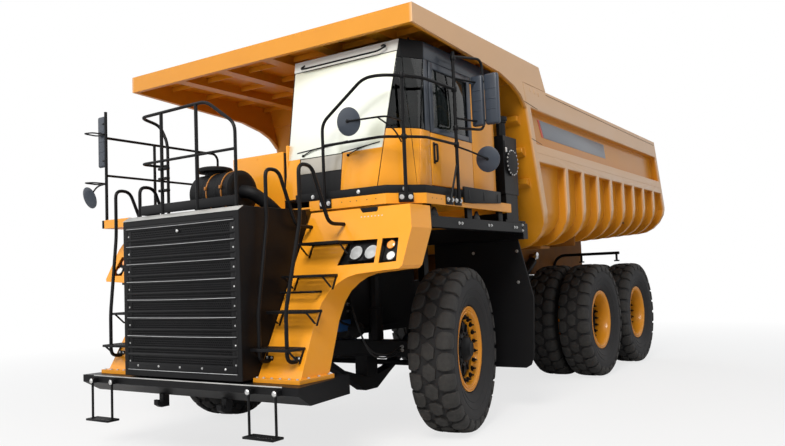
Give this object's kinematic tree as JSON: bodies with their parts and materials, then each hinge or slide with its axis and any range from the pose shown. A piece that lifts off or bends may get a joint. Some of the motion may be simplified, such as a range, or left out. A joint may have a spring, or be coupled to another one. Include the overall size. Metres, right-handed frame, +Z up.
{
  "type": "mining dump truck",
  "caption": "Off-highway dump truck for mines: wide tipping bed with a canopy over the cab, steered front wheels and twin rear wheels on two axles.",
  "frame": {"origin": "on the ground under the middle of the truck's length and width", "axes": "+X to the truck's left side, -Y to its front, +Z up"},
  "size_m": [5.1486, 10.71, 4.513],
  "materials": {
    "yellow_paint": "semi-gloss",
    "black_paint": "satin",
    "blue_paint": "semi-gloss",
    "tyre": "matte",
    "steel": "satin",
    "cast": "rough",
    "glass": "clear",
    "lamp": "glossy",
    "mirror_shell": "satin",
    "rubber": "matte",
    "seat_fabric": "woven",
    "trim": "matte"
  },
  "bodies": {
    "chassis": {"air_cleaner": "black_paint", "bumper": "black_paint", "cab_glass": "glass", "cab_shell": "yellow_paint", "dashboard": "trim", "deck": "yellow_paint", "deck_frame": "black_paint", "engine": "blue_paint", "equipment_boxes": "yellow_paint", "fender_legs": "yellow_paint", "frame": "black_paint", "front_axle": "black_paint", "front_mudguards": "rubber", "grille": "black_paint", "guard_rails": "black_paint", "headlamps": "lamp", "leaf_springs": "cast", "mirrors": "mirror_shell", "oil_tank": "black_paint", "radiator_housing": "black_paint", "rear_axles": "black_paint", "seat": "seat_fabric", "stairs": "black_paint", "tanks": "black_paint"},
    "steering_left": {"knuckle_left": "cast"},
    "steering_right": {"knuckle_right": "cast"},
    "steering_tie_rod": {"tie_rod": "cast"},
    "wheel_front_left": {"tyre_front_left": "tyre", "rim_front_left": "yellow_paint"},
    "wheel_front_right": {"tyre_front_right": "tyre", "rim_front_right": "yellow_paint"},
    "wheels_mid_left": {"tyres_mid_left": "tyre", "rims_mid_left": "yellow_paint"},
    "wheels_mid_right": {"tyres_mid_right": "tyre", "rims_mid_right": "yellow_paint"},
    "wheels_rear_left": {"tyres_rear_left": "tyre", "rims_rear_left": "yellow_paint"},
    "wheels_rear_right": {"tyres_rear_right": "tyre", "rims_rear_right": "yellow_paint"},
    "bed": {"bed_shell": "yellow_paint", "bed_canopy": "yellow_paint", "bed_underframe": "yellow_paint"},
    "hoist_outer": {"hoist_barrels": "black_paint"},
    "hoist_middle": {"hoist_stages": "steel"},
    "hoist_inner": {"hoist_rods": "steel"},
    "cab_door_leaf": {"cab_door": "yellow_paint", "door_glass": "glass"},
    "step_left": {"hanging_step_left": "black_paint"},
    "step_right": {"hanging_step_right": "black_paint"}
  },
  "joints": [
    {"name": "steer_left", "type": "hinge", "parent": "chassis", "child": "steering_left", "pos_m": [1.349, -2.745, 0.93285], "axis": [0, 0, 1], "range_deg": [-49, 27]},
    {"name": "steer_right", "type": "hinge", "parent": "chassis", "child": "steering_right", "pos_m": [-1.349, -2.745, 0.93285], "axis": [0, 0, 1], "range_deg": [-49, 27]},
    {"name": "tie_rod_pivot", "type": "hinge", "parent": "steering_left", "child": "steering_tie_rod", "pos_m": [1.27268, -2.35235, 0.71035], "axis": [0, 0, 1], "range_deg": [-27, 49]},
    {"name": "roll_front_left", "type": "hinge", "parent": "steering_left", "child": "wheel_front_left", "pos_m": [1.71613, -2.67364, 0.93285], "axis": [0.9816, 0.1908, 0], "continuous": true},
    {"name": "roll_mid_left", "type": "hinge", "parent": "chassis", "child": "wheels_mid_left", "pos_m": [1.331, 2.209, 0.93285], "axis": [1, 0, 0], "continuous": true},
    {"name": "roll_rear_left", "type": "hinge", "parent": "chassis", "child": "wheels_rear_left", "pos_m": [1.331, 4.293, 0.93285], "axis": [1, 0, 0], "continuous": true},
    {"name": "roll_front_right", "type": "hinge", "parent": "steering_right", "child": "wheel_front_right", "pos_m": [-1.71613, -2.81636, 0.93285], "axis": [0.9816, 0.1908, 0], "continuous": true},
    {"name": "roll_mid_right", "type": "hinge", "parent": "chassis", "child": "wheels_mid_right", "pos_m": [-1.331, 2.209, 0.93285], "axis": [1, 0, 0], "continuous": true},
    {"name": "roll_rear_right", "type": "hinge", "parent": "chassis", "child": "wheels_rear_right", "pos_m": [-1.331, 4.293, 0.93285], "axis": [1, 0, 0], "continuous": true},
    {"name": "bed_tip", "type": "hinge", "parent": "chassis", "child": "bed", "pos_m": [0, 4.655, 1.6], "axis": [-1, 0, 0], "range_deg": [0, 45]},
    {"name": "hoist_lean", "type": "hinge", "parent": "chassis", "child": "hoist_outer", "pos_m": [0, 0.555, 1.1], "axis": [1, 0, 0], "range_deg": [0, 13.61]},
    {"name": "hoist_first_stage", "type": "slide", "parent": "hoist_outer", "child": "hoist_middle", "axis": [0, 0.8599, 0.5105], "range_m": [0, 0.9221]},
    {"name": "hoist_second_stage", "type": "slide", "parent": "hoist_middle", "child": "hoist_inner", "axis": [0, 0.8599, 0.5105], "range_m": [0, 0.9221]},
    {"name": "cab_door_swing", "type": "hinge", "parent": "chassis", "child": "cab_door_leaf", "pos_m": [0.4357, -2.237, 3.4], "axis": [0, 0, -1], "range_deg": [0, 75]},
    {"name": "step_swing_left", "type": "hinge", "parent": "chassis", "child": "step_left", "pos_m": [1.1615, -5.28, 0.79], "axis": [-1, 0, 0], "range_deg": [-25, 70]},
    {"name": "step_swing_right", "type": "hinge", "parent": "chassis", "child": "step_right", "pos_m": [-1.1615, -5.28, 0.79], "axis": [-1, 0, 0], "range_deg": [-25, 70]}
  ],
  "couplings": [
    {"joint": "steer_right", "follows": "steer_left", "ratio": 1},
    {"joint": "tie_rod_pivot", "follows": "steer_left", "ratio": -1},
    {"joint": "hoist_lean", "follows": "bed_tip", "ratio": 0.30211},
    {"joint": "hoist_first_stage", "follows": "bed_tip", "m_per_rad": 1.1728},
    {"joint": "hoist_second_stage", "follows": "bed_tip", "m_per_rad": 1.1728}
  ]
}
